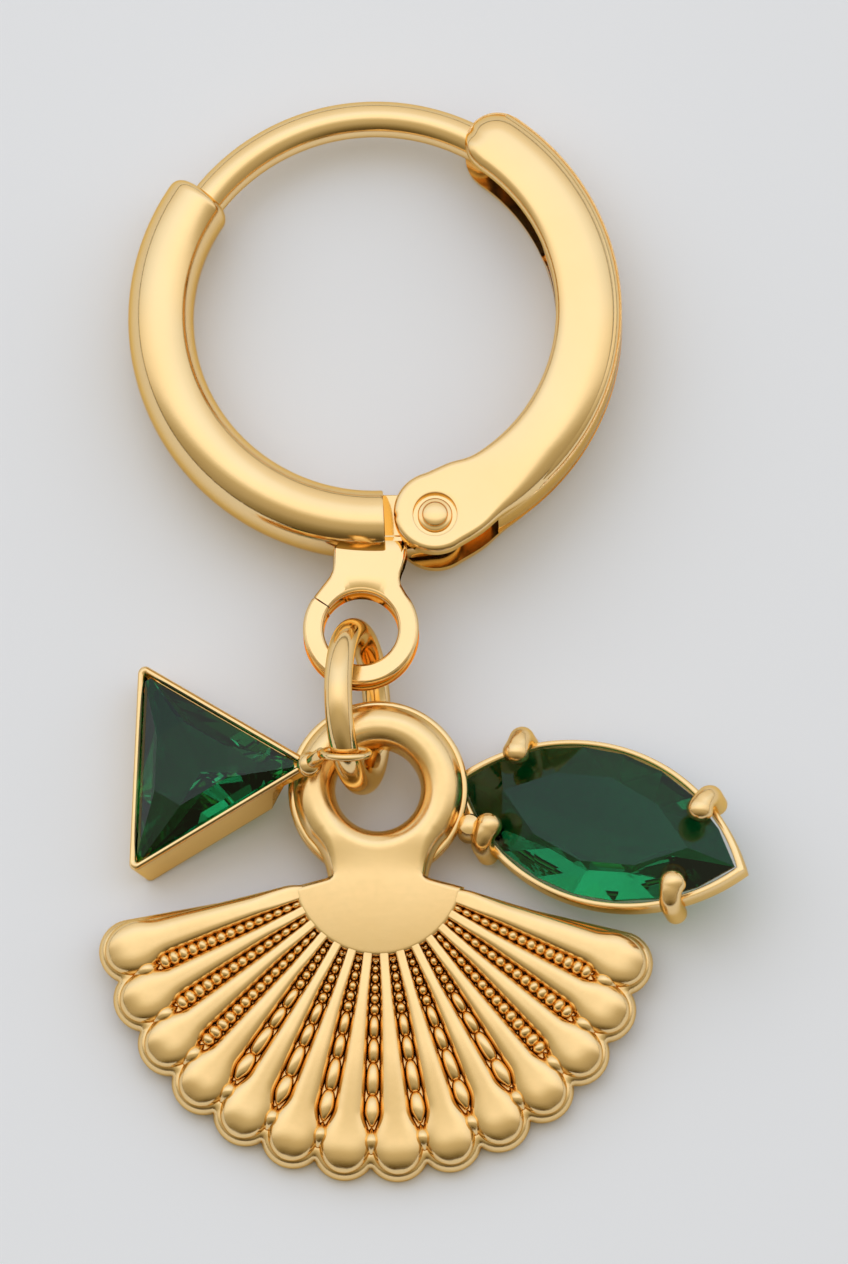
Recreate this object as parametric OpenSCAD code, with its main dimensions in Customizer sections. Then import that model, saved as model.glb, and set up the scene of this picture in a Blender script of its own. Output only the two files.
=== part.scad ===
// Fan earring, lying on its back: lever hoop, jump ring, cast fan with a marquise setting, triangle charm.
// Sizes in millimetres. X to the right, Y towards the hoop, Z up from the surface it lies on.

/* [Hoop] */
// Outside diameter of the hoop
hoop_d = 12; // [11.6:0.1:12.8]
// Width of the tube seen from the front
tube_w = 1.6; // [1.5:0.05:1.7]
// Depth of the tube from front to back
tube_t = 2.0; // [1.9:0.05:2.2]
// Thickness of the ear wire
ear_wire_d = 0.88; // [0.8:0.02:0.94]
// Thickness of the lever's sheet
sheet_t = 0.4; // [0.34:0.02:0.44]
// Diameter of the rivet heads
rivet_head_d = 0.84; // [0.76:0.02:0.9]
// Outside diameter of the flat loop
loop_d = 2.8; // [2.7:0.05:3]
// Diameter of the hole in the flat loop
loop_hole_d = 1.8; // [1.7:0.05:1.9]
// Thickness of the hinge tongue and the flat loop
loop_t = 0.8; // [0.7:0.05:0.9]

/* [Jump ring] */
// Outside diameter of the jump ring
ring_d = 4.3; // [4.2:0.05:4.6]
// Thickness of the jump ring's wire
ring_wire_d = 0.68; // [0.6:0.02:0.7]
// Lean of the jump ring from upright, in degrees
ring_lean = 15; // [11:1:18]

/* [Fan] */
// Length from the apex to the tip of the middle ribs
fan_r = 7.3; // [7:0.05:8]
// Number of ribs
rib_count = 14; // [12:1:15]
// Angle between the first and the last rib
rib_span = 141.7; // [136:0.5:144]
// Thickness of the base plate
plate_t = 0.5; // [0.4:0.05:0.6]
// Outside diameter of the bail
bail_d = 4.35; // [4.2:0.05:4.5]
// Diameter of the bail's hole
bail_hole_d = 2.07; // [2:0.05:2.2]
// Thickness of the bail
bail_t = 1.08; // [1:0.02:1.16]

/* [Stones] */
// Length of the marquise stone
marquise_len = 7.1; // [6.6:0.1:7.5]
// Width of the marquise stone
marquise_w = 3.65; // [3.4:0.05:3.8]
// Side of the triangle setting
triangle_side = 5.3; // [5:0.05:5.5]

/* [Hidden] */
$fn = 48;
gold = [0.93, 0.77, 0.47];
emerald = [0.05, 0.42, 0.27];
gap = 0.08;

// Hoop, in its own plane
hoop_r = hoop_d / 2;
mid_r = hoop_r - tube_w / 2;
in_r = hoop_r - tube_w;
ear_r = mid_r - 0.14;
tube_top = 143.5;
tube_end = 272.6;
lever_top = 55;
web_low = -60;
cheek_low = -75;
ear_tip = 59;
rivet_at = (mid_r + 0.2) * [cos(-74.2), sin(-74.2)];
cheek_at = rivet_at + [0, 0.08];
cheek_r = 1;
shaft_r = rivet_head_d / 2 - 0.13;
recess_r = rivet_head_d / 2 + 0.11;
recess_t = 0.15;
loop_at = [-0.33, -hoop_r - 0.48 - loop_d / 2];
neck_x = [-0.98, 0.66];
edge_cut = 0.12;

// Tilt of the hoop, so that its loop hangs in the jump ring above the lower wire
pitch = -2.3;
roll = -0.7;
lever_foot = [mid_r * cos(lever_top), mid_r * sin(lever_top) + tube_w / 2, -tube_t / 2];
tube_foot = [mid_r * cos(tube_top), mid_r * sin(tube_top), -tube_t / 2];

function tilted_z(p) = -p.x * sin(roll) + (p.y * sin(pitch) + p.z * cos(pitch)) * cos(roll);

hoop_z = -min(tilted_z(lever_foot), tilted_z(tube_foot));

// Jump ring, standing on the surface and leaning to the left
ring_r = (ring_d - ring_wire_d) / 2;
ring_free = ring_d / 2 - ring_wire_d - gap;
ring_x = -0.41;
ring_z = ring_r * cos(ring_lean) + ring_wire_d / 2;
loop_low = hoop_z + tilted_z([loop_at.x, loop_at.y - loop_hole_d / 2, -loop_t / 2]);

function reach(z) = sqrt(ring_free * ring_free - pow((ring_z - z) / cos(ring_lean), 2));

loop_reach = min(reach(loop_low + edge_cut), reach(loop_low) + edge_cut);
ring_y = loop_at.y - loop_hole_d / 2 - loop_reach;

// Fan, raised at its bail
fan_tilt = 5;
fan_turn = -1.4;
plate_edge = 0.22;
neck_half = 1.2;
neck_low = -0.15;
bail_y = 2.01 + (bail_d - 4.35) / 2;
bail_r = bail_d / 2;
bail_in = bail_hole_d / 2;
flange_t = 0.45;
dome_r = (bail_r - 0.15 - bail_in - 0.02) / 2;
dome_mid = bail_in + 0.02 + dome_r;
fan_z = (fan_r + plate_edge) * sin(fan_tilt);
bail_low = fan_z + (bail_y + bail_in) * sin(fan_tilt);
bail_reach = min(reach(bail_low + edge_cut), reach(bail_low) + edge_cut);
fan_x = 0.08;
fan_y = ring_y - bail_reach - (bail_y + bail_in) * cos(fan_tilt);
bail_at = [fan_x, fan_y + bail_y * cos(fan_tilt), fan_z + bail_y * sin(fan_tilt)];
rib_step = rib_span / (rib_count - 1);
side_drop = 0.5;
pitch_at_lobe = (fan_r - 0.85) * PI * rib_step / 180;
lobe_r = 0.465 * pitch_at_lobe;
edge_r = lobe_r + plate_edge;
rib_in_r = 0.165;
rib_out_r = 0.25 * pitch_at_lobe;
lobe_z = max(plate_t, lobe_r) + 0.06;
hub_r = 2.12;
bead_count = 6;

// Marquise setting, soldered to the right side of the bail
marquise_tilt = 11;
marquise_turn = -20.1;
marquise_gap = 0.04;
marquise_wall = 0.19;
marquise_deep = 0.5;
marquise_tuck = 0.12;
marquise_up = 0.31;
crown_h = 0.42;
girdle_h = 0.08;
marquise_pavilion = 1.08;
marquise_low = marquise_deep + 0.08;
marquise_tip = bail_at + [bail_r - marquise_tuck, marquise_up, 0];
marquise_at = [
    marquise_tip.x + marquise_len / 2 * cos(marquise_tilt) * cos(marquise_turn),
    marquise_tip.y + marquise_len / 2 * cos(marquise_tilt) * sin(marquise_turn),
    marquise_low + marquise_len / 2 * sin(marquise_tilt)
];
claw_x = 0.338 * marquise_len;
claw_r = 0.27;
claw_h = 0.61;
claw_lean = 0.1;
claw_bead_r = 0.33;
post_at = [0.03, -0.9];
post_r = 0.3;

// Triangle charm, its left side on the surface and its tip over the bail
triangle_tilt = 17;
triangle_turn = -2.4;
triangle_h = 1.3;
bezel_t = 0.17;
bezel_corner_r = 0.15;
triangle_in = triangle_side / (2 * sqrt(3));
triangle_long = 3 * triangle_in - bezel_corner_r;
stone_side = triangle_in - bezel_t - 0.03;
stone_corner = 2 * stone_side - 0.14;
eye_wire_d = 0.22;
eye_r = ring_wire_d / 2 + 0.23;
eye_angle = 38;
eye_pull = 0.04;
eye_turn = 24;
eye_at = [
    ring_x - (ring_r - eye_pull) * sin(eye_angle) * sin(ring_lean),
    ring_y - (ring_r - eye_pull) * cos(eye_angle),
    ring_z + (ring_r - eye_pull) * sin(eye_angle) * cos(ring_lean)
];
triangle_tip = [eye_at.x - 0.54, eye_at.y - 0.12];
tip_bead_r = 0.3;
bead_at = [
    triangle_tip.x - triangle_h * sin(triangle_tilt) + 0.04,
    triangle_tip.y,
    triangle_long * sin(triangle_tilt) + triangle_h * cos(triangle_tilt) - 0.08
];
triangle_at = [
    triangle_tip.x - triangle_long * cos(triangle_tilt) * cos(triangle_turn),
    triangle_tip.y - triangle_long * cos(triangle_tilt) * sin(triangle_turn),
    0
];

// The whole is moved so that the origin is below the middle of its box
shift_x = -(marquise_at.x + fan_x + 3.49 - (fan_r - side_drop + plate_edge) * 0.94) / 2;
shift_y = -(hoop_r - 0.526 + fan_y - (fan_r + plate_edge) * cos(fan_tilt)) / 2;

module laid() {
    translate([shift_x, shift_y, 0]) children();
}

module in_hoop_plane() {
    laid() translate([0, 0, hoop_z]) rotate([pitch, roll, 0]) children();
}

// A round bar from one point to another
module bar(from, to, d) {
    way = to - from;
    far = norm(way);
    translate(from) rotate([0, acos(way.z / far), atan2(way.y, way.x)]) cylinder(h = far, d = d);
}

// Hexagon with three sides and three blunt corners in turn, one corner on +X
function hexagon(side, corner) = [
    for (k = [0:5])
        let (here = k % 2 == 0 ? corner : side)
        let (next = k % 2 == 0 ? side : corner)
        let (along = (next - here / 2) / sin(60))
        [here * cos(60 * k) - along * sin(60 * k), here * sin(60 * k) + along * cos(60 * k)]
];

// Points of a lens: two equal arcs that meet in two tips
function lens(long, wide, points) =
    let (r = (long * long + wide * wide) / (4 * wide))
    let (half = asin(long / (2 * r)))
    let (n = points / 2)
    concat(
        [for (k = [0:n - 1]) let (a = half - 2 * half * k / n) [r * sin(a), r * cos(a) - r + wide / 2]],
        [for (k = [0:n - 1]) let (a = half - 2 * half * k / n) [-r * sin(a), r - wide / 2 - r * cos(a)]]
    );

function at_height(ring, z) = [for (p = ring) [p.x, p.y, z]];

module tube_section() {
    half = (tube_t - tube_w) / 2;
    translate([mid_r, half]) circle(d = tube_w);
    translate([mid_r, -half]) circle(d = tube_w);
    translate([mid_r - tube_w / 2, -half]) square([tube_w, 2 * half]);
}

module loop_outline() {
    difference() {
        union() {
            translate(rivet_at) circle(r = 0.74);
            polygon([[-0.4, rivet_at.y + 0.5], [rivet_at.x, rivet_at.y + 0.62],
                [rivet_at.x, rivet_at.y - 0.66], [-0.4, rivet_at.y - 0.6]]);
            polygon([[neck_x[0], 0.6 - hoop_r], [neck_x[1], 0.6 - hoop_r],
                [neck_x[1], -hoop_r - 0.5], [loop_at.x + 1, loop_at.y], [loop_at.x - 1, loop_at.y],
                [neck_x[0], -hoop_r - 0.5]]);
            translate(loop_at) circle(d = loop_d);
        }
        translate(rivet_at) circle(r = shaft_r + 0.03);
        translate(loop_at) circle(d = loop_hole_d);
    }
}

// Hoop body, ear wire, hinge tongue and flat loop
module hoop_front() {
    color(gold) in_hoop_plane() {
        rotate([0, 0, tube_top]) rotate_extrude(angle = tube_end - tube_top) tube_section();
        rotate([0, 0, ear_tip]) rotate_extrude(angle = tube_top - ear_tip + 4)
            translate([ear_r, 0]) circle(d = ear_wire_d);
        translate([ear_r * cos(ear_tip + 0.5), ear_r * sin(ear_tip + 0.5), 0]) sphere(d = ear_wire_d * 0.97);
        difference() {
            translate([0, 0, -loop_t / 2]) linear_extrude(loop_t) loop_outline();
            for (side = [-1, 1])
                translate([loop_at.x, loop_at.y, side * (loop_t / 2 - edge_cut)])
                    mirror([0, 0, side < 0 ? 1 : 0])
                        cylinder(h = 2 * edge_cut, r1 = loop_hole_d / 2, r2 = loop_hole_d / 2 + 2 * edge_cut);
        }
    }
}

module lever_channel() {
    half = tube_t / 2;
    rotate([0, 0, cheek_low]) rotate_extrude(angle = lever_top - cheek_low)
        polygon([[in_r, -half], [hoop_r, -half], [hoop_r, half], [in_r, half], [in_r, half - sheet_t],
            [hoop_r - sheet_t, half - sheet_t], [hoop_r - sheet_t, sheet_t - half], [in_r, sheet_t - half]]);
}

// Folded lever: a channel with two cheeks, cut back at the hinge
module lever() {
    half = tube_t / 2;
    color(gold) in_hoop_plane() difference() {
        union() {
            lever_channel();
            for (z = [-half, half - sheet_t]) {
                translate([mid_r * cos(lever_top), mid_r * sin(lever_top), z])
                    cylinder(h = sheet_t, r = tube_w / 2 - 0.01);
                translate([cheek_at.x, cheek_at.y, z]) cylinder(h = sheet_t, r = cheek_r);
            }
        }
        rotate([0, 0, cheek_low - 5]) rotate_extrude(angle = web_low - cheek_low + 5)
            translate([hoop_r - sheet_t - 0.2, sheet_t - half]) square([sheet_t + 0.6, 2 * (half - sheet_t)]);
        translate([rivet_at.x, rivet_at.y, -half - 1]) cylinder(h = tube_t + 2, r = shaft_r + 0.03);
        translate([rivet_at.x, rivet_at.y, half - recess_t]) cylinder(h = 1, r = recess_r);
        translate([rivet_at.x, rivet_at.y, recess_t - half - 1]) cylinder(h = 1, r = recess_r);
    }
}

// Rivet with a domed head at each end, sunk in the cheeks
module rivet() {
    half = tube_t / 2;
    color(gold) in_hoop_plane() translate([rivet_at.x, rivet_at.y, 0]) {
        cylinder(h = tube_t - 0.2, r = shaft_r, center = true);
        for (side = [0, 1])
            mirror([0, 0, side]) translate([0, 0, half - recess_t + 0.02]) intersection() {
                cylinder(h = 1, d = rivet_head_d);
                translate([0, 0, -0.44]) sphere(r = 0.64);
            }
    }
}

module jump_ring() {
    color(gold) laid() translate([ring_x, ring_y, ring_z]) rotate([0, 90 - ring_lean, 0])
        rotate_extrude() translate([ring_r, 0]) circle(d = ring_wire_d);
}

function rib_angle(k) = (k - (rib_count - 1) / 2) * rib_step;
function rib_tip(k) = fan_r - side_drop * pow(rib_angle(k) / 72.3, 2);
function away(a) = [sin(a), -cos(a)];

// Edge of the base plate: one arc round each lobe, then back to the neck on both sides
function plate_outline() =
    let (valley = asin(min(0.98, pitch_at_lobe / 2 / edge_r)) * 0.94)
    let (last = rib_count - 1)
    concat(
        [[-neck_half, 0.35], [-neck_half, neck_low], away(rib_angle(0)) * hub_r + [-0.05, 0.36]],
        [for (k = [0:last]) for (j = [0:6])
            let (low = k == 0 ? -80 : -valley)
            let (high = k == last ? 80 : valley)
            away(rib_angle(k)) * (rib_tip(k) - lobe_r)
                + away(rib_angle(k) + low + (high - low) * j / 6) * edge_r],
        [away(rib_angle(last)) * hub_r + [0.05, 0.36], [neck_half, neck_low], [neck_half, 0.35]]
    );

// Tapered rib lying on the plate, with a round lobe at its end
module rib(k) {
    long = rib_tip(k) - lobe_r;
    rotate([0, 0, rib_angle(k)]) {
        translate([0, -1.6, plate_t + 0.1]) rotate([90, 0, 0])
            cylinder(h = long - 1.6, r1 = rib_in_r, r2 = rib_out_r, $fn = 24);
        translate([0, -long, lobe_z]) sphere(r = lobe_r);
    }
}

// Row of beads growing outward in the groove beside a rib
module bead_row(k) {
    first = hub_r + 0.45;
    last = rib_tip(k) - 2.15 * lobe_r;
    rotate([0, 0, rib_angle(k) + rib_step / 2]) for (j = [0:bead_count - 1]) {
        r = first + (last - first) * j / (bead_count - 1);
        groove = r * PI * rib_step / 180 - 2 * (rib_in_r + (rib_out_r - rib_in_r) * (r - 1.6) / 4.6);
        translate([0, -r, plate_t + 0.02]) sphere(r = 0.4 * groove);
    }
}

// Domed hub, cut off above the first and the last rib
module hub() {
    intersection() {
        translate([0, 0, plate_t + 0.66 - 5.4]) sphere(r = 5.4);
        translate([0, 0, plate_t / 2]) cylinder(h = 3, r = hub_r);
        linear_extrude(3) polygon([[-neck_half, 0.3], [-neck_half, neck_low],
            away(rib_angle(0)) * 4 + [0, 0.3], [-4, -4], [4, -4],
            away(rib_angle(rib_count - 1)) * 4 + [0, 0.3], [neck_half, neck_low], [neck_half, 0.3]]);
    }
}

// Ring of the bail: a flat flange with a rounded relief on it
module bail() {
    rotate_extrude() polygon(concat(
        [[bail_in, edge_cut], [bail_in + edge_cut, 0], [bail_r, 0], [bail_r, flange_t],
            [dome_mid + dome_r, flange_t]],
        [for (j = [0:12]) [dome_mid + dome_r * cos(15 * j), bail_t - dome_r + dome_r * sin(15 * j)]],
        [[bail_in + 0.02, flange_t], [bail_in, flange_t - 0.02]]
    ));
}

// One claw: a rod outside the stone and a bead that leans over its edge
module claw(x_side, y_side) {
    r = (marquise_len * marquise_len + marquise_w * marquise_w) / (4 * marquise_w);
    edge = sqrt(r * r - claw_x * claw_x) - r + marquise_w / 2;
    mirror([x_side < 0 ? 1 : 0, 0, 0]) mirror([0, y_side < 0 ? 1 : 0, 0]) {
        translate([claw_x + 0.06, edge + claw_r + 0.05, 0]) {
            translate([0, 0, -marquise_deep]) cylinder(h = marquise_deep + claw_h, r = claw_r);
            translate([0, 0, claw_h]) sphere(r = claw_r + 0.012);
        }
        translate([claw_x, edge - claw_lean, claw_h + 0.03]) sphere(r = claw_bead_r);
    }
}

module in_marquise() {
    translate(marquise_at) rotate([0, 0, marquise_turn]) rotate([0, -marquise_tilt, 0]) children();
}

// Four-claw setting: a thin lens-shaped band, open at the back
module marquise_setting() {
    in_marquise() {
        difference() {
            translate([0, 0, -marquise_deep]) linear_extrude(marquise_deep + 0.02)
                polygon(lens(marquise_len + 3 * marquise_wall, marquise_w + 2 * marquise_wall, 40));
            translate([0, 0, -marquise_deep - 1]) linear_extrude(marquise_deep + 2)
                polygon(lens(marquise_len + 2.6 * marquise_gap, marquise_w + 2 * marquise_gap, 40));
        }
        for (x_side = [-1, 1]) for (y_side = [-1, 1]) claw(x_side, y_side);
    }
    translate([bail_at.x + bail_r + post_at.x, bail_at.y + post_at.y, marquise_low - 0.35])
        cylinder(h = 0.95, r = post_r);
}

// Fan with bail, hub, ribs and beads; the marquise setting is soldered to it
module fan_charm() {
    color(gold) laid() {
        translate([fan_x, fan_y, fan_z]) rotate([fan_tilt, 0, 0]) {
            rotate([0, 0, fan_turn]) {
                linear_extrude(plate_t) polygon(plate_outline());
                for (k = [0:rib_count - 1]) rib(k);
                for (k = [0:rib_count - 2]) bead_row(k);
                hub();
            }
            translate([0, bail_y, 0]) bail();
        }
        marquise_setting();
    }
}

// Marquise stone: table, crown, girdle and pavilion, 16 girdle points and 8 table points
module marquise_stone() {
    edge = lens(marquise_len, marquise_w, 16);
    table = [for (k = [0:7]) [edge[2 * k].x * (k % 4 == 0 ? 0.68 : 0.66), edge[2 * k].y * 0.6]];
    keel = [for (k = [0:7]) [edge[2 * k].x * 0.5, edge[2 * k].y * 0.5]];
    points = concat(at_height(edge, girdle_h / 2), at_height(table, girdle_h / 2 + crown_h),
        at_height(edge, -girdle_h / 2), at_height(keel, -girdle_h / 2 - 0.62 * marquise_pavilion),
        [[0, 0, -girdle_h / 2 - marquise_pavilion]]);
    faces = concat(
        [[for (k = [7:-1:0]) 16 + k]],
        [for (k = [0:7]) [2 * k, 16 + k, 2 * k + 1]],
        [for (k = [0:7]) [2 * k, (2 * k + 15) % 16, 16 + k]],
        [for (k = [0:7]) [16 + k, 16 + (k + 1) % 8, 2 * k + 1]],
        [for (k = [0:15]) [k, (k + 1) % 16, 24 + (k + 1) % 16, 24 + k]],
        [for (k = [0:7]) [24 + 2 * k, 24 + 2 * k + 1, 40 + k]],
        [for (k = [0:7]) [24 + 2 * k, 40 + k, 24 + (2 * k + 15) % 16]],
        [for (k = [0:7]) [40 + k, 24 + 2 * k + 1, 40 + (k + 1) % 8]],
        [for (k = [0:7]) [40 + k, 40 + (k + 1) % 8, 48]]
    );
    color(emerald) laid() in_marquise() polyhedron(points, faces);
}

module in_triangle() {
    translate(triangle_at) rotate([0, 0, triangle_turn]) rotate([0, -triangle_tilt, 0])
        translate([triangle_in, 0, 0]) children();
}

// Outline of the bezel: a triangle with rounded corners, one on +X
module bezel_outline() {
    polygon([for (k = [0:2]) for (j = [-2:2])
        (2 * triangle_in - 2 * bezel_corner_r) * [cos(120 * k), sin(120 * k)]
            + bezel_corner_r * [cos(120 * k + 30 * j), sin(120 * k + 30 * j)]]);
}

// Bezel cup with an open back, a bead on its tip and the eye that hangs it on the jump ring
module triangle_setting() {
    ledge = triangle_h - 0.46;
    color(gold) laid() {
        difference() {
            in_triangle() {
                linear_extrude(ledge) difference() {
                    bezel_outline();
                    polygon(hexagon(stone_side - 0.2, stone_corner - 0.35));
                }
                translate([0, 0, ledge]) linear_extrude(triangle_h - ledge) difference() {
                    bezel_outline();
                    polygon(hexagon(stone_side + 0.04, stone_corner + 0.04));
                }
            }
            translate([bail_at.x, bail_at.y, -1])
                cylinder(h = bail_at.z + bail_t + gap + 1.05, r = bail_r + gap);
        }
        translate(bead_at) sphere(r = tip_bead_r);
        bar(bead_at, eye_at + [-eye_r, 0, -0.1], eye_wire_d + 0.06);
        translate(eye_at) rotate([90 + eye_turn, 0, 0])
            rotate_extrude() translate([eye_r, 0]) circle(d = eye_wire_d);
    }
}

// Triangle stone: hexagonal table, three long crown facets, three corner facets, stepped pavilion
module triangle_stone() {
    rings = [
        at_height(hexagon(0.03, 0.03), -1.02),
        at_height(hexagon(stone_side * 0.62, stone_corner * 0.56), -0.52),
        at_height(hexagon(stone_side, stone_corner), -0.05),
        at_height(hexagon(stone_side, stone_corner), 0.05),
        at_height(hexagon(stone_side - 0.5, 0.993), 0.45)
    ];
    last = len(rings) - 1;
    faces = concat(
        [[for (k = [0:5]) k]],
        [for (i = [0:last - 1]) for (k = [0:5])
            [6 * i + k, 6 * i + 6 + k, 6 * i + 6 + (k + 1) % 6, 6 * i + (k + 1) % 6]],
        [[for (k = [5:-1:0]) 6 * last + k]]
    );
    color(emerald) laid() in_triangle() translate([0, 0, triangle_h - 0.1])
        polyhedron([for (ring = rings) for (p = ring) p], faces);
}

hoop_front();
lever();
rivet();
jump_ring();
fan_charm();
marquise_stone();
triangle_setting();
triangle_stone();
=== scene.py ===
import math

import bpy
import numpy as np
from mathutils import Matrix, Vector


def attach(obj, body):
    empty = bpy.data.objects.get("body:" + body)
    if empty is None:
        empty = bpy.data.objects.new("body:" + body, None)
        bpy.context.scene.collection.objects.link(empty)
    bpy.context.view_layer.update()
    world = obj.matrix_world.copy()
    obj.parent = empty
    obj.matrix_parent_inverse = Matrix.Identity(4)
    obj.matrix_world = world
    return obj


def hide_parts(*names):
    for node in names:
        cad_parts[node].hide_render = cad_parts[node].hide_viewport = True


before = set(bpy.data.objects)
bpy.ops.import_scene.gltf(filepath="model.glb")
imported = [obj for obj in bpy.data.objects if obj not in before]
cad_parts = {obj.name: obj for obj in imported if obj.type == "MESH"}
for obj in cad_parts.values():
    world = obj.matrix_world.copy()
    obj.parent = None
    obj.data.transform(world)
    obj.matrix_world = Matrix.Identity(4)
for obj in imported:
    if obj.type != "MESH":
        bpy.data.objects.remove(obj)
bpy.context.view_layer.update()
mm = 0.001   # shapes are worked out in millimetres, meshes are in metres
print("frame loaded, nodes:", len(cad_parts))


# Places of the parts, the same as in the solids

def moved(x, y, z):
    step = np.eye(4)
    step[:3, 3] = (x, y, z)
    return step


# Turn about axis 0, 1 or 2: the next two axes take the cosine and the sine of the angle
def turned(axis, degrees):
    first, second = (axis + 1) % 3, (axis + 2) % 3
    c, s = math.cos(math.radians(degrees)), math.sin(math.radians(degrees))
    step = np.eye(4)
    step[first, first] = step[second, second] = c
    step[first, second], step[second, first] = -s, s
    return step


places = {
    "laid": (-1.18937, 7.85853, 0.0),
    "hoopHeight": 1.17431, "hoopPitch": -2.3, "hoopRoll": -0.7,
    "ring": (-0.41, -9.85988, 2.08833), "ringLean": 75.0,
    "fan": (0.08, -13.6997, 0.655411), "fanTilt": 5.0, "fanTurn": -1.4,
    "bailUp": 2.01, "bail": (0.08, -11.6973, 0.830594),
    "marquise": (5.40753, -12.5849, 1.25737), "marquiseTurn": -20.1, "marquiseTilt": -11.0,
    "triangle": (-5.47425, -11.1969, 0.0), "triangleTurn": -2.4, "triangleTilt": -17.0,
    "triangleIn": 1.53, "eye": (-0.69204, -11.2547, 3.14092), "eyeTurn": 114.0,
    "tipBead": (-1.57212, -11.3747, 2.46131),
}

laid = moved(*places["laid"])
hoopPlane = (laid @ moved(0, 0, places["hoopHeight"]) @ turned(1, places["hoopRoll"])
             @ turned(0, places["hoopPitch"]))
ringPlane = laid @ moved(*places["ring"]) @ turned(1, places["ringLean"])
bailPlane = laid @ moved(*places["fan"]) @ turned(0, places["fanTilt"])
fanPlane = bailPlane @ turned(2, places["fanTurn"])
marquisePlane = (laid @ moved(*places["marquise"]) @ turned(2, places["marquiseTurn"])
                 @ turned(1, places["marquiseTilt"]))
trianglePlane = (laid @ moved(*places["triangle"]) @ turned(2, places["triangleTurn"])
                 @ turned(1, places["triangleTilt"]) @ moved(places["triangleIn"], 0, 0))
eyePlane = laid @ moved(*places["eye"]) @ turned(0, places["eyeTurn"])


# Surfaces. A surface is a grid of points, rows by columns, and each row is a closed loop

# Angles round a whole turn, even, the last one a step short of the first
def loopAngles(count):
    return np.linspace(0, 2 * np.pi, count, endpoint=False)


# Superellipse: cosine and sine of the angle, each raised to 2 / power with its sign kept, times the
# half sizes
def fullRound(count, halfWide, halfHigh, power=2.0):
    t = loopAngles(count)
    c, s = np.cos(t), np.sin(t)
    return halfWide * np.sign(c) * np.abs(c) ** (2 / power), halfHigh * np.sign(s) * np.abs(s) ** (2 / power)


# Profile carried along a path: path point + size * (u * side + v * up) at each row
def carried(path, side, up, u, v, size):
    size = np.broadcast_to(size, len(path))[:, None, None]
    return path[:, None, :] + size * (u[None, :, None] * side[:, None, :] + v[None, :, None] * up[:, None, :])


# Arc of a circle in the plane z = 0 with its outward and upward directions
def arcPath(radius, degrees):
    a = np.radians(degrees)
    out = np.stack([np.cos(a), np.sin(a), 0 * a], -1)
    return np.reshape(radius, (-1, 1)) * out, out, np.tile([0.0, 0.0, 1.0], (len(a), 1))


# Directions across a free path: side = tangent x hint, up = side x tangent, both made one long
def acrossPath(path, hint):
    tangent = np.gradient(path, axis=0)
    side = np.cross(tangent, hint)
    side /= np.linalg.norm(side, axis=1, keepdims=True)
    up = np.cross(side, tangent)
    return side, up / np.linalg.norm(up, axis=1, keepdims=True)


# Round bar of changing radius along a path, its ends closed
def roundBar(path, radius, hint=(0, 0, 1), around=24):
    side, up = acrossPath(path, np.array(hint, float))
    u, v = fullRound(around, 1, 1)
    return closedTube(carried(path, side, up, u, v, radius))


# Quads between neighbouring rows and columns, as an array rows x columns x 4
def gridQuads(rows, columns, ringRows):
    index = np.arange(rows * columns).reshape(rows, columns)
    right = np.roll(index, -1, axis=1)
    if ringRows:
        return np.stack([index, right, np.roll(right, -1, axis=0), np.roll(index, -1, axis=0)], -1)
    return np.stack([index[:-1], right[:-1], right[1:], index[1:]], -1)


# Shape from rows that close on themselves as a ring
def closedRing(grid):
    rows, columns = grid.shape[:2]
    return grid.reshape(-1, 3), gridQuads(rows, columns, True).reshape(-1, 4), np.zeros((0, 3), int)


# Shape from rows that start and end, each end closed by triangles to the middle of its row
def closedTube(grid):
    rows, columns = grid.shape[:2]
    total = rows * columns
    quads = gridQuads(rows, columns, False).reshape(-1, 4)
    first = np.arange(columns)
    last = first + total - columns
    startCap = np.stack([np.roll(first, -1), first, np.full(columns, total)], -1)
    endCap = np.stack([last, np.roll(last, -1), np.full(columns, total + 1)], -1)
    points = np.vstack([grid.reshape(-1, 3), grid[0].mean(0), grid[-1].mean(0)])
    return points, quads, np.vstack([startCap, endCap])


# Turned shape: a profile of radius and height, spun about Z
def spun(radius, height, around=64):
    a = loopAngles(around)
    radius, height = np.array(radius, float), np.array(height, float)
    x = radius[:, None] * np.cos(a)
    y = radius[:, None] * np.sin(a)
    return closedTube(np.stack([x, y, np.broadcast_to(height[:, None], x.shape)], -1))


# Solid ring: a circle of wire carried round Z
def wireRing(ringRadius, wireRadius, around=160, across=32):
    path, out, up = arcPath(np.full(around, ringRadius), np.degrees(loopAngles(around)))
    u, v = fullRound(across, wireRadius, wireRadius)
    return closedRing(carried(path, out, up, u, v, 1.0))


# Ball: circles of radius r * cos(a) at height r * sin(a), a from pole to pole
def ball(centre, radius, flat=1.0, count=24):
    a = np.linspace(-np.pi / 2, np.pi / 2, count)[1:-1]
    points, quads, caps = spun(radius * np.cos(a), radius * flat * np.sin(a), 2 * count)
    return points + np.array(centre), quads, caps


# Least distance from plan points to a chain of straight edges: each point is dropped on each edge and
# held between its ends
def distanceTo(points, chain):
    start, along = chain[:-1], np.diff(chain, axis=0)
    t = ((points[..., None, :] - start) * along).sum(-1) / np.maximum((along ** 2).sum(-1), 1e-12)
    foot = start + np.clip(t, 0, 1)[..., None] * along
    return np.linalg.norm(points[..., None, :] - foot, axis=-1).min(-1)


# Fall of a rounded edge: a quarter of an ellipse, deep at distance 0 and level from distance wide on
def edgeFall(distance, wide, deep):
    t = 1 - np.clip(distance / wide, 0, 1)
    return deep * (1 - np.sqrt(np.maximum(0, 1 - t * t)))


# Smooth step from 0 at low to 1 at high: t * t * (3 - 2 t)
def easeIn(x, low, high):
    t = np.clip((x - low) / (high - low), 0, 1)
    return t * t * (3 - 2 * t)


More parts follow.
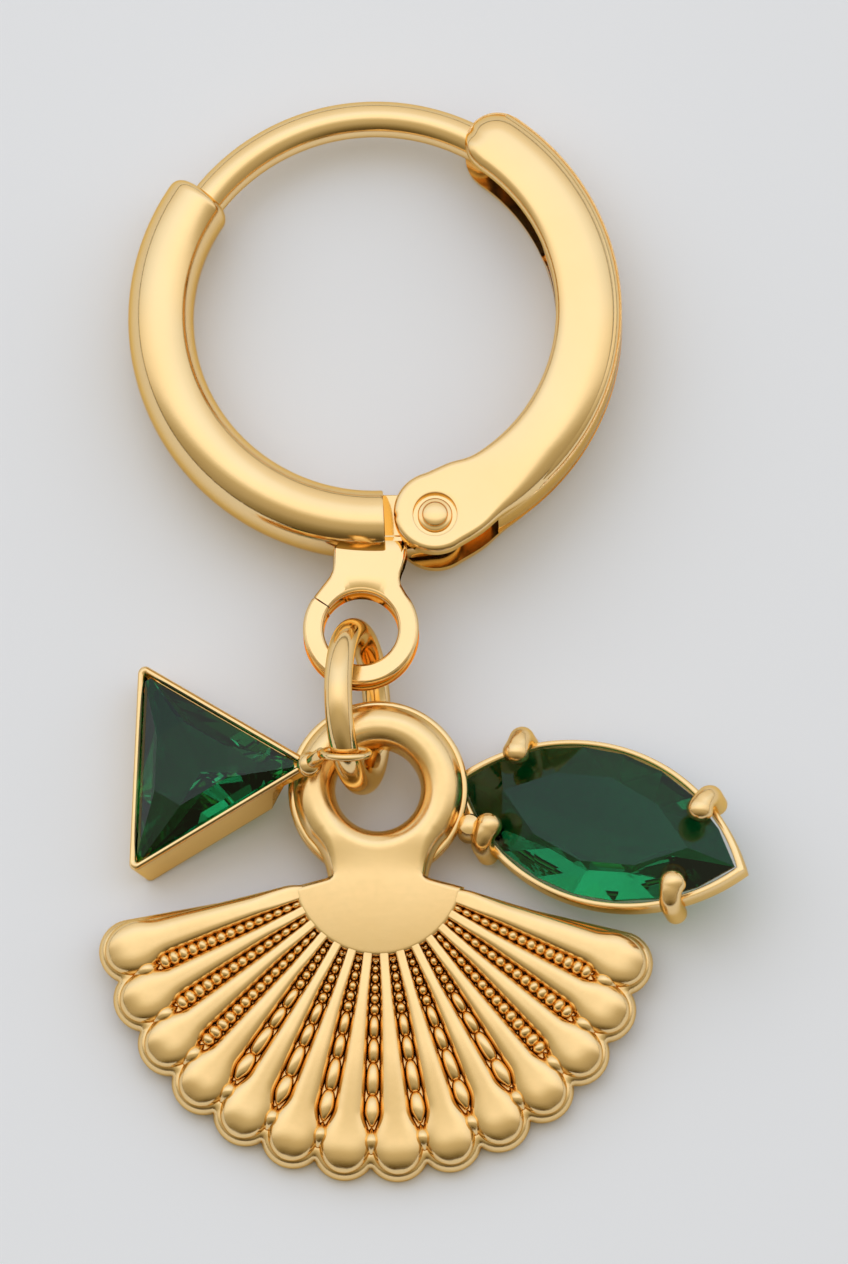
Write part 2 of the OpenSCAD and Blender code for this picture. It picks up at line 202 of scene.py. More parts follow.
# Several shapes as one, each carried to its place first
def joined(*shapesAndPlanes):
    points, quads, tris, count = [], [], [], 0
    for (p, q, t), plane in shapesAndPlanes:
        p = p @ plane[:3, :3].T + plane[:3, 3]
        a, b, c = p[np.vstack([q[:, [0, 1, 2]], q[:, [0, 2, 3]], t])].transpose(1, 0, 2)
        if (a * np.cross(b, c)).sum() < 0:   # volume below zero: the faces point inwards
            q, t = q[:, ::-1], t[:, ::-1]
        points.append(p)
        quads.append(q + count)
        tris.append(t + count)
        count += len(p)
    return np.vstack(points), np.vstack(quads), np.vstack(tris)


# One piece from a shape: mesh in metres, material, the body it rides on, the solids it replaces
def makePiece(name, shape, material, body, nodes, sharpAngle=38):
    points, quads, tris = shape
    mesh = bpy.data.meshes.new(name)
    mesh.from_pydata((points * mm).tolist(), [], quads.tolist() + tris.tolist())
    mesh.validate()
    mesh.shade_smooth()
    mesh.set_sharp_from_angle(angle=math.radians(sharpAngle))
    mesh.materials.append(material)
    piece = bpy.data.objects.new(name, mesh)
    bpy.context.scene.collection.objects.link(piece)
    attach(piece, body)
    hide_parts(*nodes)
    print("made", name, "faces", len(mesh.polygons))
    return piece


# A value on each point, for a material to read
def keepOnPoints(piece, name, values):
    layer = piece.data.attributes.new(name, "FLOAT", "POINT")
    layer.data.foreach_set("value", np.asarray(values, np.float32))


# Materials

# sRGB hex to linear: each channel divided by 12.92, or ((c + 0.055) / 1.055) to the power 2.4
def linear(hexText):
    values = [int(hexText[i:i + 2], 16) / 255 for i in (1, 3, 5)]
    return [c / 12.92 if c <= 0.04045 else ((c + 0.055) / 1.055) ** 2.4 for c in values] + [1.0]


# Adds a node, sets its properties and inputs, and links what is given as an output
def addNode(tree, kind, inputs=None, **settings):
    node = tree.nodes.new(kind)
    for key, value in settings.items():
        setattr(node, key, value)
    for key, value in (inputs or {}).items():
        if isinstance(value, bpy.types.NodeSocket):
            tree.links.new(value, node.inputs[key])
        else:
            node.inputs[key].default_value = value
    return node


def newMaterial(name):
    material = bpy.data.materials.new(name)
    material.use_nodes = True
    material.node_tree.nodes.clear()
    return material, material.node_tree


goldLook = {
    "bright": "#FDDEA6",       # polished plate
    "warm": "#F9D394",         # thinner or warmer patches of it
    "edge": "#F7DC9E",         # tint of what is seen at a slant
    "deep": "#BD9550",         # painted shade for the grooves between the ribs
    "polishRoughness": 0.11,
    "satinRoughness": 0.20,
    "uneven": (0.8, 1.25),     # least and most share of the roughness
    "patchSize": 2.4,          # mm, slow changes of tone
    "grainSize": 0.22,         # mm, real marks are about 0.02 mm, drawn coarser to show
    "grainDepth": 0.012,       # mm
    "grainStrength": 0.10,
}


# Gold-plated brass, polished: bright bands with soft brown edges between them
def platedBrass(name, roughness, paintGrooveShade):
    material, tree = newMaterial(name)
    where = addNode(tree, "ShaderNodeTexCoord").outputs["Object"]
    patches = addNode(tree, "ShaderNodeTexNoise", {
        "Vector": where, "Scale": 1 / (goldLook["patchSize"] * mm), "Detail": 3.0})
    grain = addNode(tree, "ShaderNodeTexNoise", {
        "Vector": where, "Scale": 1 / (goldLook["grainSize"] * mm), "Detail": 4.0, "Roughness": 0.6})
    colour = addNode(tree, "ShaderNodeMix", {
        "Factor": patches.outputs["Fac"], "A": linear(goldLook["bright"]), "B": linear(goldLook["warm"])},
        data_type="RGBA").outputs["Result"]
    # Painted shade: where the groove attribute is set, the deep tone is mixed into the colour
    if paintGrooveShade:
        grooveShade = addNode(tree, "ShaderNodeAttribute", attribute_name="groove").outputs["Fac"]
        colour = addNode(tree, "ShaderNodeMix", {
            "Factor": grooveShade, "A": colour, "B": linear(goldLook["deep"])}, data_type="RGBA").outputs["Result"]
    least, most = goldLook["uneven"]
    rough = addNode(tree, "ShaderNodeMapRange", {
        "Value": grain.outputs["Fac"], "From Min": 0.3, "From Max": 0.7,
        "To Min": roughness * least, "To Max": roughness * most})
    bump = addNode(tree, "ShaderNodeBump", {
        "Height": grain.outputs["Fac"], "Strength": goldLook["grainStrength"],
        "Distance": goldLook["grainDepth"] * mm})
    shader = addNode(tree, "ShaderNodeBsdfPrincipled", {
        "Base Color": colour, "Metallic": 1.0, "Specular Tint": linear(goldLook["edge"]),
        "Roughness": rough.outputs["Result"], "Normal": bump.outputs["Normal"]})
    addNode(tree, "ShaderNodeOutputMaterial", {"Surface": shader.outputs["BSDF"]})
    return material


stoneLook = {
    "body": "#0E8049",         # the glass
    "cloud": "#0A6B3E",        # faint streaks in the melt
    "cloudSize": 1.6,          # mm
    "shine": "#DFF8EC",        # tint of what its faces mirror
    "roughness": 0.015,
    "glassIndex": 1.50,
}


# Emerald-green lead glass, cut and polished: dark inside, bright green where light comes back out
def cutGlass(name):
    material, tree = newMaterial(name)
    where = addNode(tree, "ShaderNodeTexCoord").outputs["Object"]
    clouds = addNode(tree, "ShaderNodeTexNoise", {
        "Vector": where, "Scale": 1 / (stoneLook["cloudSize"] * mm), "Detail": 2.0})
    colour = addNode(tree, "ShaderNodeMix", {
        "Factor": clouds.outputs["Fac"], "A": linear(stoneLook["body"]), "B": linear(stoneLook["cloud"])},
        data_type="RGBA").outputs["Result"]
    shader = addNode(tree, "ShaderNodeBsdfPrincipled", {
        "Base Color": colour, "Roughness": stoneLook["roughness"], "IOR": stoneLook["glassIndex"],
        "Transmission Weight": 1.0, "Specular Tint": linear(stoneLook["shine"])})
    addNode(tree, "ShaderNodeOutputMaterial", {"Surface": shader.outputs["BSDF"]})
    return material


polished = platedBrass("goldPlatedBrassPolished", goldLook["polishRoughness"], False)
cast = platedBrass("goldPlatedBrassCast", goldLook["satinRoughness"], True)
emerald = cutGlass("emeraldCutGlass")
print("materials ready")


# Hoop body, ear wire, tongue and loop

hoop = {
    "middle": 5.2, "halfWide": 0.8, "halfThick": 1.0, "fullness": 2.35,
    "top": 143.5, "end": 272.6,   # degrees
    "topCap": 0.30, "capPower": 2.4,   # how far the upper end is rolled in, and how squarely
    "endBevel": 0.05, "endSize": (0.985, 0.955),
    "wire": 0.437, "wirePath": 5.06, "wireTip": 59.0, "wireRoot": 4,
    "loopAt": (-0.33, -7.88), "loopOut": 1.4, "loopHole": 0.9, "loopHalf": 0.4, "loopEdge": 0.11,
    "slitAt": 146.0, "slit": 0.035,
    "neckRight": 0.67, "neckLeft": -1.0, "shoulders": (38, 150),
    # both sides of the neck: how far out from its edge, and place along it
    "rightSide": ((-0.03, -6.78), (-0.06, -6.6), (-0.02, -6.35), (0.1, -6.1), (0.16, -5.5)),
    "leftSide": ((0, -5.5), (0, -6.25), (-0.01, -6.4), (-0.09, -6.58)),
    "rivetAt": (1.47031, -5.19598), "tongue": 0.66, "tongueHalf": 0.39,
    "tongueLeft": -0.35, "tongueFoot": 0.55, "tongueDrop": 0.1, "tongueEdge": 0.05, "tongueDraw": 0.96,
}


# Half-round tube: superellipse carried along the arc, its upper end rolled in, its lower end cut square
def hoopTube():
    cap, power = hoop["topCap"], hoop["capPower"]
    s = cap * (1 - np.cos(np.linspace(0, np.pi / 2, 14)))
    capAngles = hoop["top"] + np.degrees(s / hoop["middle"])
    capSize = 0.5 + 0.5 * (1 - (1 - s / cap) ** power) ** (1 / power)
    endAngle = hoop["end"] - np.degrees(hoop["endBevel"] / hoop["middle"])
    body = np.linspace(capAngles[-1], endAngle, 130)[1:]
    angles = np.concatenate([capAngles, body, [hoop["end"] - 0.15, hoop["end"]]])
    size = np.concatenate([capSize, np.ones(len(body)), hoop["endSize"]])
    path, out, up = arcPath(np.full(len(angles), hoop["middle"]), angles)
    u, v = fullRound(56, hoop["halfWide"], hoop["halfThick"], hoop["fullness"])
    return closedTube(carried(path, out, up, u, v, size))


# Ear wire: circle carried along its arc, its tip rounded as a half ball
def earWire():
    r, wirePath = hoop["wire"], hoop["wirePath"]
    q = np.linspace(0, np.pi / 2, 12)
    tip = hoop["wireTip"] - np.degrees(r * np.cos(q) / wirePath)
    body = np.linspace(hoop["wireTip"], hoop["top"] + hoop["wireRoot"], 90)[1:]
    path, out, up = arcPath(np.full(len(tip) + len(body), wirePath), np.concatenate([tip, body]))
    u, v = fullRound(32, r, r)
    return closedTube(carried(path, out, up, u, v, np.concatenate([np.sin(q), np.ones(len(body))])))


# Flat loop with its neck: at each angle about the hole, from its wall to the outline, edges rounded
def loopAndNeck():
    cx, cy = hoop["loopAt"]
    out, hole, top, edge = hoop["loopOut"], hoop["loopHole"], hoop["loopHalf"], hoop["loopEdge"]
    shoulders = np.radians(hoop["shoulders"])
    onLoop = np.stack([cx + out * np.cos(shoulders), cy + out * np.sin(shoulders)], -1)
    corner = np.vstack([onLoop[:1], np.array(hoop["rightSide"]) + (hoop["neckRight"], 0),
                        np.array(hoop["leftSide"]) + (hoop["neckLeft"], 0), onLoop[1:]])
    fine = np.linspace(0, len(corner) - 1, 240)
    chain = np.stack([np.interp(fine, np.arange(len(corner)), corner[:, k]) for k in (0, 1)], -1) - (cx, cy)
    chainAngle, chainReach = np.arctan2(chain[:, 1], chain[:, 0]), np.hypot(chain[:, 0], chain[:, 1])
    half = hoop["slit"] / (out + hole)   # half the slit's angle, at mid width
    start = math.radians(hoop["slitAt"]) + half
    phi = np.linspace(start, start + 2 * np.pi - 2 * half, 260)
    wrapped = np.mod(phi + np.pi / 2, 2 * np.pi) - np.pi / 2
    onNeck = (wrapped > chainAngle[0]) & (wrapped < chainAngle[-1])
    reach = np.where(onNeck, np.interp(wrapped, chainAngle, chainReach), out)
    q = np.linspace(0, np.pi / 2, 7)
    inR, inZ = hole + edge * (1 - np.sin(q)), top - edge * (1 - np.cos(q))
    outR, outZ = -edge * (1 - np.sin(q[::-1])), top - edge * (1 - np.cos(q[::-1]))
    rInner = np.broadcast_to(np.concatenate([inR[::-1], inR]), (len(phi), 2 * len(q)))
    rOuter = reach[:, None] + np.concatenate([outR, outR[::-1]])
    flat = np.linspace(0, 1, 8)[1:-1]
    between = rInner[:, -1:] + flat * (rOuter[:, :1] - rInner[:, -1:])
    level = np.full(len(flat), top)
    r = np.concatenate([rInner, between, rOuter, between[:, ::-1]], axis=1)
    z = np.concatenate([-inZ[::-1], inZ, level, outZ, -outZ[::-1], -level])
    x = cx + r * np.cos(phi)[:, None]
    y = cy + r * np.sin(phi)[:, None]
    return closedTube(np.stack([x, y, np.broadcast_to(z, x.shape)], -1))


# Flat tongue: a stadium outline at four heights, drawn in a little at the top and the bottom
def tongue():
    rx, ry = hoop["rivetAt"]
    a = np.linspace(-np.pi / 2, np.pi / 2, 24)
    r, half, edge, draw = hoop["tongue"], hoop["tongueHalf"], hoop["tongueEdge"], hoop["tongueDraw"]
    right = np.stack([rx + r * np.cos(a), ry + r * np.sin(a)], -1)
    foot = ry - r - hoop["tongueDrop"]
    left = np.array([[hoop["tongueLeft"], ry + r], [hoop["tongueLeft"], foot], [hoop["tongueFoot"], foot]])
    outline = np.vstack([right, left])
    middle = outline.mean(0)
    rows = [np.column_stack([middle + (outline - middle) * size, np.full(len(outline), z)])
            for size, z in ((draw, -half), (1, edge - half), (1, half - edge), (draw, half))]
    return closedTube(np.array(rows))


makePiece("hoopFront", joined(*[(s, hoopPlane) for s in (hoopTube(), earWire(), loopAndNeck(), tongue())]),
          polished, "earring", ["hoop_front"])


# Lever: two cheeks and the web that joins them

lever = {
    "inner": 4.4, "outer": 6.0, "top": 1.0, "sheet": 0.4, "endAt": 55.0, "endRadius": 0.79,
    "cut": -54.0,   # degrees, where the band's grid meets the hinge disc's
    "bandEnd": -76.0, "filletFrom": -62.0, "fillet": 0.8, "filletLeast": 0.06,
    "discAt": (1.47031, -5.11598), "discRadius": 1.0, "hole": 0.32,
    "recess": 0.53, "recessDeep": 0.15, "recessEdge": 0.03,
    "plateRound": 0.15, "outerRound": 0.62, "innerRound": 0.26,
    "outerGrow": (-66, -40), "innerGrow": (-62, -30),   # degrees between which the roundings grow
    "crown": 0.06, "crownAt": 5.0, "crownHalf": 0.8,
    "lip": 0.42, "lipStart": (-54, -40), "lipEnd": (16, 24), "lipWide": 0.1,
    "webStart": -60.0, "webPath": 5.8,
    # section of the web, half of it: out from its path, and height
    "webSection": ((-0.2, 0.72), (0.0, 0.78), (0.10, 0.72), (0.16, 0.60), (0.198, 0.38)),
}


# Radius and angle in degrees about the hoop's middle
def hoopPolar(points):
    return np.hypot(points[..., 0], points[..., 1]), np.degrees(np.arctan2(points[..., 1], points[..., 0]))


# Edge of the cheek seen from the rivet: the band and the hinge disc as distances below zero inside,
# joined by a smooth minimum, which rounds the corners between them
def cheekOutline():
    cx, cy = lever["discAt"]
    rx, ry = hoop["rivetAt"]
    phi = loopAngles(720)
    t = np.linspace(0, 3.4, 5000)
    x = rx + t * np.cos(phi)[:, None]
    y = ry + t * np.sin(phi)[:, None]
    radius, polar = hoopPolar(np.stack([x, y], -1))
    band = np.maximum(np.maximum(lever["inner"] - radius, radius - lever["outer"]),
                      np.radians(lever["bandEnd"] - polar) * radius)
    disc = np.hypot(x - cx, y - cy) - lever["discRadius"]
    fillet = lever["filletLeast"] + lever["fillet"] * easeIn(polar, lever["bandEnd"], lever["filletFrom"])
    share = np.clip(0.5 + 0.5 * (band - disc) / fillet, 0, 1)
    both = band + (disc - band) * share - fillet * share * (1 - share)
    inside = (both < 0) & (polar < lever["cut"])
    reach = t[np.argmin(inside, axis=1)]
    return np.stack([rx + reach * np.cos(phi), ry + reach * np.sin(phi)], -1)


# Height of the cheek's face: level, less the falls to both edges, the outer one wide on the band and
# narrow on the hinge disc
def cheekHeight(points, innerChain, outerChain):
    radius, polar = hoopPolar(points)
    plate, top = lever["plateRound"], lever["top"]
    grow = easeIn(polar, *lever["outerGrow"])
    outerWide = plate + (lever["outerRound"] - plate) * grow
    innerWide = plate + (lever["innerRound"] - plate) * easeIn(polar, *lever["innerGrow"])
    z = top - edgeFall(distanceTo(points, outerChain), outerWide, outerWide * 0.92)
    z = z - edgeFall(distanceTo(points, innerChain), innerWide, innerWide * 0.9)
    z = z - lever["crown"] * ((radius - lever["crownAt"]) / lever["crownHalf"]) ** 2 * grow
    return np.maximum(z, top - lever["sheet"])


# One cheek: the band is a grid of angle by reach, the hinge disc one of direction by distance
def cheek(mirror):
    middle, endAt, endRadius = hoop["middle"], lever["endAt"], lever["endRadius"]
    endSpan = math.degrees(math.asin(endRadius / middle))
    polar = np.concatenate([np.linspace(lever["cut"], endAt, 150),
                            endAt + endSpan * np.sin(np.linspace(0, np.pi / 2, 22))[1:]])
    off = np.radians(np.maximum(polar - endAt, 0))
    reachHalf = np.sqrt(np.maximum(endRadius ** 2 - (middle * np.sin(off)) ** 2, 1e-6))
    rIn = np.where(off > 0, middle * np.cos(off) - reachHalf, lever["inner"])[:, None]
    rOut = np.where(off > 0, middle * np.cos(off) + reachHalf, lever["outer"])[:, None]
    r = rIn + (1 - np.cos(np.linspace(0, np.pi, 34))) / 2 * (rOut - rIn)
    a = np.radians(polar)[:, None]
    plan = np.stack([r * np.cos(a), r * np.sin(a)], -1)

    edge = cheekOutline()
    onCut = hoopPolar(edge)[1] > lever["cut"] - 0.05
    first = np.argmax(~onCut & np.roll(onCut, 1))
    edge = np.roll(edge, -first, axis=0)[:int((~onCut).sum())][::2]
    rim = np.vstack([edge, plan[0, ::-1]])   # round the disc, then back across the cut
    turnAt = np.argmin(hoopPolar(edge)[1])
    chains = np.vstack([edge[turnAt::-1], plan[:, 0]]), np.vstack([edge[turnAt:], plan[:, -1]])

    hole, recess, top = lever["hole"], lever["recess"], lever["top"]
    low = top - lever["sheet"]
    lip = lever["lip"] * (easeIn(polar, *lever["lipStart"]) * (1 - easeIn(polar, *lever["lipEnd"])))[:, None]
    under = low - lip * np.clip(1.6 - (r - rIn) / lever["lipWide"], 0, 1)   # the inner edge is turned down
    band = np.concatenate([np.dstack([plan, cheekHeight(plan, *chains)]),
                           np.dstack([plan, under])[:, ::-1]], axis=1)

    rivetAt = np.array(hoop["rivetAt"])
    length = np.linalg.norm(rim - rivetAt, axis=1, keepdims=True)
    unit = (rim - rivetAt) / length
    start = recess + lever["recessEdge"]
    t = 1 - (1 - np.linspace(0, 1, 26)) ** 1.8
    face = rivetAt + unit[:, None, :] * (start + t * (length - start))[..., None]
    face[:, -1] = rim
    floor = top - lever["recessDeep"]
    wallR = np.array([hole, hole, recess, recess, recess + 0.01])
    wallZ = [low, floor, floor, top - lever["recessEdge"], top - 0.008]
    wall = rivetAt + unit[:, None, :] * wallR[None, :, None]
    wall = np.dstack([wall, np.broadcast_to(wallZ, wall.shape[:2])])
    foot = np.dstack([rim[:, None, :], np.full((len(rim), 1), low)])
    disc = np.concatenate([wall, np.dstack([face, cheekHeight(face, *chains)]), foot], axis=1)

    discQuads = gridQuads(*disc.shape[:2], True)
    keep = np.ones(discQuads.shape[:2], bool)
    keep[len(edge):-1, disc.shape[1] - 2] = False   # no wall inside the metal where disc and band meet
    rows, columns = band.shape[:2]
    total = disc.shape[0] * disc.shape[1]
    lastRow = np.arange(columns) + total + (rows - 1) * columns
    points = np.vstack([disc.reshape(-1, 3), band.reshape(-1, 3), band[-1].mean(0)])
    endCap = np.stack([lastRow, np.roll(lastRow, -1), np.full(columns, len(points) - 1)], -1)
    quads = np.vstack([discQuads[keep], gridQuads(rows, columns, False).reshape(-1, 4) + total])
    return points * np.array([1, 1, -1 if mirror else 1]), quads, endCap


# Web between the cheeks: a flat bar along the outer arc, its edges tucked into the rounding
def web():
    angles = np.linspace(lever["webStart"], lever["endAt"] + 2, 120)
    path, out, up = arcPath(np.full(len(angles), lever["webPath"]), angles)
    u, v = np.array(lever["webSection"]).T
    u, v = np.concatenate([u, u[::-1]]), np.concatenate([v, -v[::-1]])
    return closedTube(carried(path, out, up, u, v, 1.0))


makePiece("leverFolded", joined(*[(s, hoopPlane) for s in (cheek(False), cheek(True), web())]),
          polished, "lever", ["lever"])


# Rivet: domed head with a small step, the same on both sides

rivet = {
    "shaft": 0.29, "head": 0.42, "headLow": 0.87, "headTop": 1.075, "dome": 0.30, "domeDeep": 0.085,
    # step under the dome: radius and height
    "step": ((0.315, 0.975), (0.345, 0.965), (0.385, 0.955), (0.41, 0.935), (0.42, 0.91)),
}


# Profile of the head from its pole: a quarter of an ellipse, the step, straight down to the shaft
def rivetShape():
    a = np.linspace(0, np.pi / 2, 14)
    dome = np.stack([np.maximum(rivet["dome"] * np.sin(a), 0.004),
                     rivet["headTop"] - rivet["domeDeep"] * (1 - np.cos(a))], -1)
    low = rivet["headLow"]
    head = np.vstack([dome, rivet["step"], (rivet["head"], low), (rivet["shaft"], low)])
    radius, height = np.vstack([head, head[::-1] * (1, -1)]).T
    return spun(radius, height, 72)


makePiece("rivetPin", joined((rivetShape(), hoopPlane @ moved(*hoop["rivetAt"], 0))),
          polished, "earring", ["rivet"])


# Jump ring: round wire, its cut closed

jumpRing = {"middle": 1.81, "wire": 0.335}

makePiece("jumpRing", joined((wireRing(jumpRing["middle"], jumpRing["wire"], 192, 40), ringPlane)),
          polished, "earring", ["jump_ring"])


# Fan: base plate, ribs, bead rows, and the bail that runs into the hub

fan = {
    "reach": 7.3, "sideDrop": 0.5, "side": 72.3, "ribs": 14, "step": 10.9,
    "plate": 0.5, "plateRound": 0.785, "plateBack": 0.57, "plateFrom": 1.0,
    "plateEdge": 0.24, "plateFall": 0.32,
    "ribStart": 1.85, "ribIn": 0.148, "ribGrow": 0.0714, "ribGrowFrom": 2.49, "ribLeast": 0.142,
    "ribCrest": 0.95, "ribRoot": 0.06, "leaveHub": (2.02, 3.4),
    "lobe": 0.635, "lobeBack": 0.70, "lobeLong": 0.77, "lobeCrest": 0.83, "flare": (5.85, 6.6),
    "lobeFall": (-2.2, 0.3),
    # first and last rib: reach, and how much wider outwards
    "sideReach": (1.85, 2.0, 2.2, 4.6, 5.5, 6.6), "sideWiden": (0.08, 0.15, 0.20, 0.17, 0.15, 0.05),
    "hub": 2.12, "hubTop": 1.03, "hubRim": 0.91, "hubCorner": 79.5,
    "beadHigh": 0.39, "beadWide": 1.12, "beadMost": 0.2, "lastBead": 0.17, "lastHigh": 0.85, "fineFrom": 40,
    # where each bead ends, the waist between two as a share, and its power
    "fineBeads": (tuple(np.linspace(2.14, 6.1, 16)) + (6.85,), 0.68, 0.6),
    "longBeads": ((2.14, 2.30, 2.5, 2.75, 3.0, 3.25, 3.52, 4.08, 4.67, 5.46, 6.22, 6.9), 0.50, 0.42),
    "grooveShadeShare": 0.2, "grooveShadeEnd": (6.5, 6.75),   # share of the deep tone painted as shade in the grooves, and where it ends
    "bailHole": 1.035, "bailCrest": 1.08, "bailOut": 2.05,
    "flange": 2.175, "flangeThick": 0.45, "flangeEdge": 0.1,
}


angles = (np.arange(fan["ribs"]) - (fan["ribs"] - 1) / 2) * fan["step"]
tips = fan["reach"] - fan["sideDrop"] * (angles / fan["side"]) ** 2   # the ribs get shorter towards the sides


# Points at an angle from straight down and a distance from the fan's apex
def fanPoints(degrees, reach):
    a = np.radians(degrees)
    return np.stack([np.sin(a) * reach, -np.cos(a) * reach], -1)


# Level of the hub: a paraboloid, highest over the apex
def hubLevel(reach):
    return fan["hubTop"] - (fan["hubTop"] - fan["hubRim"]) * (reach / fan["hub"]) ** 2


# Base plate: reach at each angle is the farthest way out of the circles round the lobes, edges rounded
def fanPlate():
    size = fan["plateRound"]
    middle = tips - fan["plateBack"]
    side = angles[-1] + math.degrees(math.asin(size / middle[-1])) - 0.01
    angle = side * np.sin(np.linspace(-np.pi / 2, np.pi / 2, 900))
    off = np.radians(angle[:, None] - angles)
    across = middle * np.sin(off)
    out = middle * np.cos(off) + np.sqrt(np.maximum(size ** 2 - across ** 2, 0))
    reach = np.where(np.abs(across) <= size, out, 0).max(axis=1)
    start = fan["plateFrom"]
    chain = np.vstack([fanPoints([-side], start), fanPoints(angle, reach), fanPoints([side], start)])
    t = 1 - (1 - np.linspace(0, 1, 40)) ** 1.7
    plan = fanPoints(angle[:, None], start + t * (reach[:, None] - start))
    # in blocks, to save memory
    fall = np.concatenate([edgeFall(distanceTo(block, chain), fan["plateEdge"], fan["plateFall"])
                           for block in np.array_split(plan, 12)])
    top = np.dstack([plan, fan["plate"] - fall])
    bottom = np.dstack([plan[:, [-1, 0]], np.zeros((len(angle), 2))])
    bottom[:, 0, :2] = plan[:, -1] - 0.15 * (plan[:, -1] - plan[:, -4])   # drawn in under the rim
    return closedTube(np.concatenate([top, bottom], axis=1))


# Half width of a rib at a place along it: grows in step with the reach, then flares to the lobe
def ribHalf(s, middle):
    q = s * (fan["reach"] - fan["lobeBack"]) / middle     # the place on a middle rib
    plain = np.maximum(fan["ribIn"] + fan["ribGrow"] * (q - fan["ribGrowFrom"]), fan["ribLeast"])
    return plain + (fan["lobe"] - plain) * easeIn(q, *fan["flare"])


# Points beside a line that leaves the apex at an angle: along it, across it, and their height
def besideLine(angle, along, across, z):
    a = math.radians(angle)
    return np.stack([np.sin(a) * along + np.cos(a) * across, -np.cos(a) * along + np.sin(a) * across, z], -1)


# Rib: superellipse arch as wide as ribHalf, level with the hub where it leaves it, its round end steep
def ribShape(angle, tip, outerSide):
    start, plate, hub = fan["ribStart"], fan["plate"], fan["hub"]
    middle, long = tip - fan["lobeBack"], fan["lobeLong"]
    fine = middle - 0.85       # closer rows from here on, for the flare
    s = np.concatenate([np.linspace(start, fine, 34), np.linspace(fine, middle, 26)[1:],
                        middle + long * np.sin(np.linspace(0, np.pi / 2, 24))[1:]])
    past = np.clip((s - middle) / long, 0, 1)
    wide = ribHalf(np.minimum(s, middle), middle) * np.sqrt(np.maximum(1 - past ** 2.2, 1e-6))
    leave = easeIn(s, *fan["leaveHub"])
    # just under the hub's skin, and out of it at its rim
    onHub = hubLevel(np.minimum(s, hub)) + 0.016 * easeIn(s, hub - 0.2, hub) - 0.012
    crest = onHub * (1 - leave) + fan["ribCrest"] * leave
    fallFrom, fallTo = fan["lobeFall"]
    crest = crest + (fan["lobeCrest"] - crest) * easeIn(s, middle + fallFrom, middle + fallTo)
    base = plate - fan["ribRoot"]
    high = (crest - base) * (1 - past ** 2.8) ** 0.58
    x = np.sin(np.linspace(-np.pi / 2, np.pi / 2, 27))
    power = 8 - 4.4 * easeIn(s, 2.1, 3.2)   # a flat top at the hub, an arch farther out
    arch = (1 - np.abs(x) ** power[:, None]) ** (1 / 2.3)
    sideReach = np.array(fan["sideReach"])
    sideReach[-1] = middle
    widen = np.interp(s, sideReach, fan["sideWiden"]) * (1 - past)
    across = x * (wide[:, None] + np.where(x * outerSide > 0, 1.0, 0.0) * widen[:, None])
    across = np.concatenate([across, across[:, -1:] * 0.9, across[:, :1] * 0.9], axis=1)
    z = np.concatenate([base + high[:, None] * arch, np.full((len(s), 2), plate - 0.1)], axis=1)
    return closedTube(besideLine(angle, s[:, None], across, z))


# Bead row: a bar whose radius in each bead is a waist plus a low power of the sine
def beadRow(angle, tip):
    bounds, waist, power = fan["fineBeads" if abs(angle) > fan["fineFrom"] else "longBeads"]
    middle = tip - fan["lobeBack"]
    stretch = middle / (fan["reach"] - fan["lobeBack"])
    s = np.concatenate([np.linspace(a, b, 20 if b - a < 0.4 else 38)[:-1]
                        for a, b in zip(bounds[:-1], bounds[1:])])
    groove = np.maximum(s * math.tan(math.radians(fan["step"] / 2)) - ribHalf(s, middle / stretch), 0.02)
    beadAt = np.interp(s, bounds, np.arange(len(bounds)))
    last = beadAt >= len(bounds) - 2      # the round bead between two lobes
    half = np.where(last, fan["lastBead"], np.minimum(groove * fan["beadWide"], fan["beadMost"]))
    share = np.sin(np.pi * (beadAt % 1.0))
    size = np.where(last, 0.05 + 0.95 * share ** 0.75, waist + (1 - waist) * share ** power)
    size = size * np.clip((s - s[0]) / 0.1 + 0.3, 0, 1)
    high = fan["beadHigh"] * np.where(last, fan["lastHigh"], 1.0)
    u, v = fullRound(20, 1.0, 1.0, 2.8)
    return closedTube(besideLine(angle, (s * stretch)[:, None], (half * size)[:, None] * u,
                                 fan["plate"] + (high * size)[:, None] * v))


# Outline of bail, neck and hub by rows: ring, neck, shoulder and rim end at rowEnds
bail = {
    "rowEnds": (0, 89, 110, 125, 188),
    "holeAngles": (90, -36, -54, -62, -90),   # degrees about the hole, at the same rows
    "notch": (1.2, -0.15), "neckBend": (1.27, 0.42),   # end of the neck, and what bends it
    "bends": ((0.80, -0.10), (0.50, -0.42), (0.0, -0.56)),   # middles of the bent lines, past the ring
    # row, how wide and how deep the edge is rounded
    "edge": ((90, 0.46, 0.55), (110, 0.24, 0.42), (111, 0.24, 0.42), (125, 0.15, 0.34), (126, 0.15, 0.34),
             (135, 0.10, 0.22)),
    "holeEdge": (0.46, 0.5), "onRing": (-0.1, 0.9),
}


